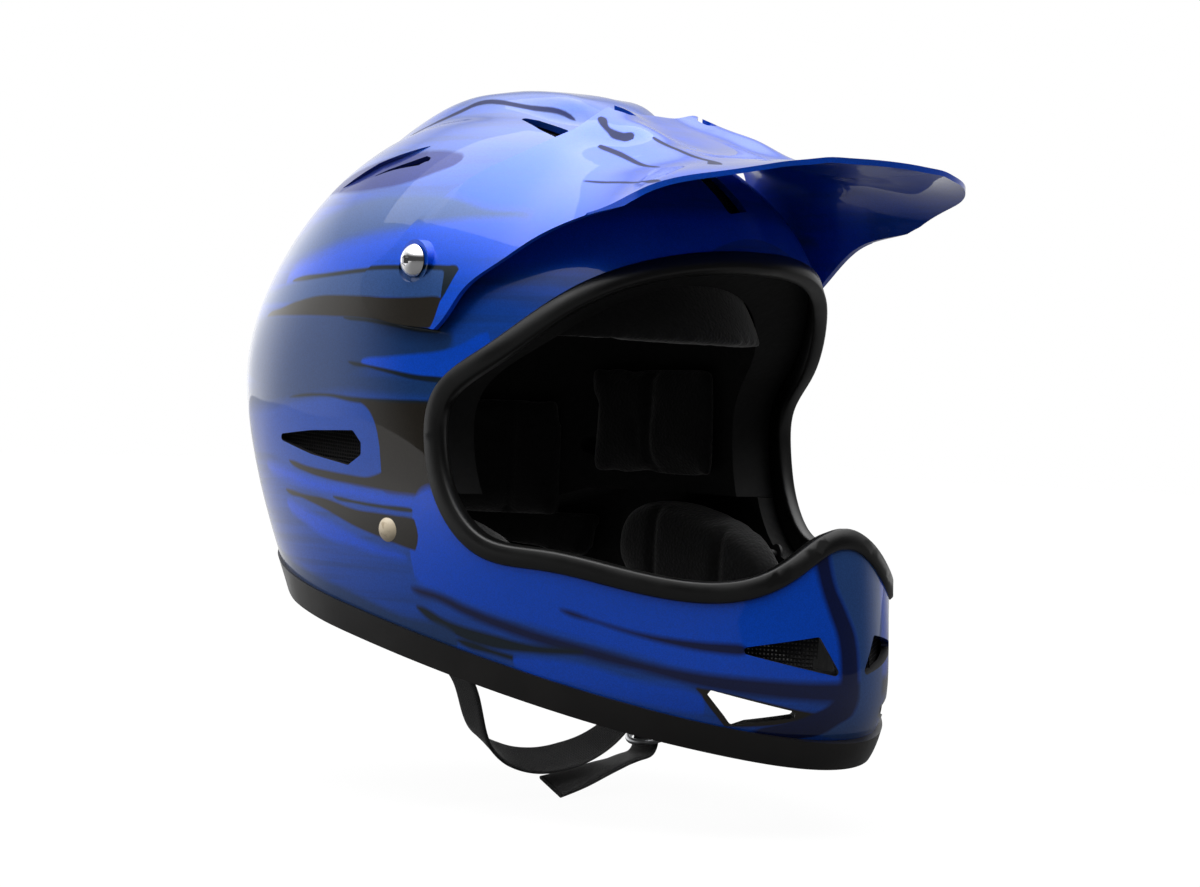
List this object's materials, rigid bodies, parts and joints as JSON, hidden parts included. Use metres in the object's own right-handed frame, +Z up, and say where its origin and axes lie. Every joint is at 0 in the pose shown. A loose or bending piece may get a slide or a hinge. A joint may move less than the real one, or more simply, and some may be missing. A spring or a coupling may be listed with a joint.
{
  "type": "full face bicycle helmet",
  "caption": "Full face downhill bicycle helmet: vented painted shell, turning visor peak, rubber trims, foam and pad lining, chin strap with D-rings.",
  "frame": {"origin": "centre of the rider's head, at the mount named head", "axes": "+Z up, -Y the way the rider looks, -X the rider's right hand side"},
  "size_m": [0.236, 0.3506, 0.3242],
  "materials": {
    "shell_paint": "candy blue paint under clear coat, with dark speed stripes",
    "visor_paint": "candy blue paint on moulded plastic",
    "trim_rubber": "satin black rubber",
    "liner_foam": "black moulded expanded foam",
    "pad_fabric": "black brushed fabric over foam",
    "stud_plastic": "black moulded nylon",
    "vent_mesh": "black woven mesh",
    "rivet_paint": "cream paint on steel",
    "plate_steel": "zinc plated",
    "webbing": "black woven webbing",
    "screw_chrome": "polished chrome",
    "washer_plastic": "black nylon",
    "bush_plastic": "black acetal",
    "nut_steel": "zinc plated",
    "ring_steel": "nickel plated wire"
  },
  "bodies": {
    "helmet": {"outer_shell": "shell_paint", "eyeport_trim": "trim_rubber", "bottom_trim": "trim_rubber", "crown_liner": "liner_foam", "chin_bar_liner": "liner_foam", "cheek_block_right": "liner_foam", "cheek_block_left": "liner_foam", "cheek_pad_right": "pad_fabric", "cheek_pad_left": "pad_fabric", "crown_pad": "pad_fabric", "brow_pad": "pad_fabric", "rear_pad": "pad_fabric", "temple_pad_right": "pad_fabric", "temple_pad_left": "pad_fabric", "neck_roll": "pad_fabric", "cheek_pad_studs_right": "stud_plastic", "cheek_pad_studs_left": "stud_plastic", "chin_vent_mesh_right": "vent_mesh", "chin_vent_mesh_left": "vent_mesh", "ear_vent_mesh_right": "vent_mesh", "ear_vent_mesh_left": "vent_mesh", "top_vent_mesh_right": "vent_mesh", "top_vent_mesh_left": "vent_mesh", "forehead_vent_mesh": "vent_mesh", "rear_vent_mesh_right": "vent_mesh", "rear_vent_mesh_left": "vent_mesh", "strap_rivet_right": "rivet_paint", "strap_rivet_left": "rivet_paint", "strap_anchor_plate_right": "plate_steel", "strap_anchor_plate_left": "plate_steel", "chin_strap_long": "webbing", "chin_strap_short": "webbing", "visor_screw_right": "screw_chrome", "visor_screw_left": "screw_chrome", "visor_washer_right": "washer_plastic", "visor_washer_left": "washer_plastic", "visor_bush_right": "bush_plastic", "visor_bush_left": "bush_plastic", "visor_t_nut_right": "nut_steel", "visor_t_nut_left": "nut_steel"},
    "visor": {"visor": "visor_paint"},
    "upper_ring": {"d_ring_upper": "ring_steel"},
    "lower_ring": {"d_ring_lower": "ring_steel"}
  },
  "joints": [
    {"name": "visor_tilt", "type": "hinge", "parent": "helmet", "child": "visor", "pos_m": [0, -0.034, 0.0825], "axis": [-1, 0, 0], "range_deg": [-6, 8]},
    {"name": "upper_ring_swing", "type": "hinge", "parent": "helmet", "child": "upper_ring", "pos_m": [0.045, -0.038, -0.1239], "axis": [0, 1, 0], "range_deg": [-6, 1]},
    {"name": "lower_ring_swing", "type": "hinge", "parent": "helmet", "child": "lower_ring", "pos_m": [0.045, -0.038, -0.1281], "axis": [0, 1, 0], "range_deg": [-3, 6]}
  ]
}
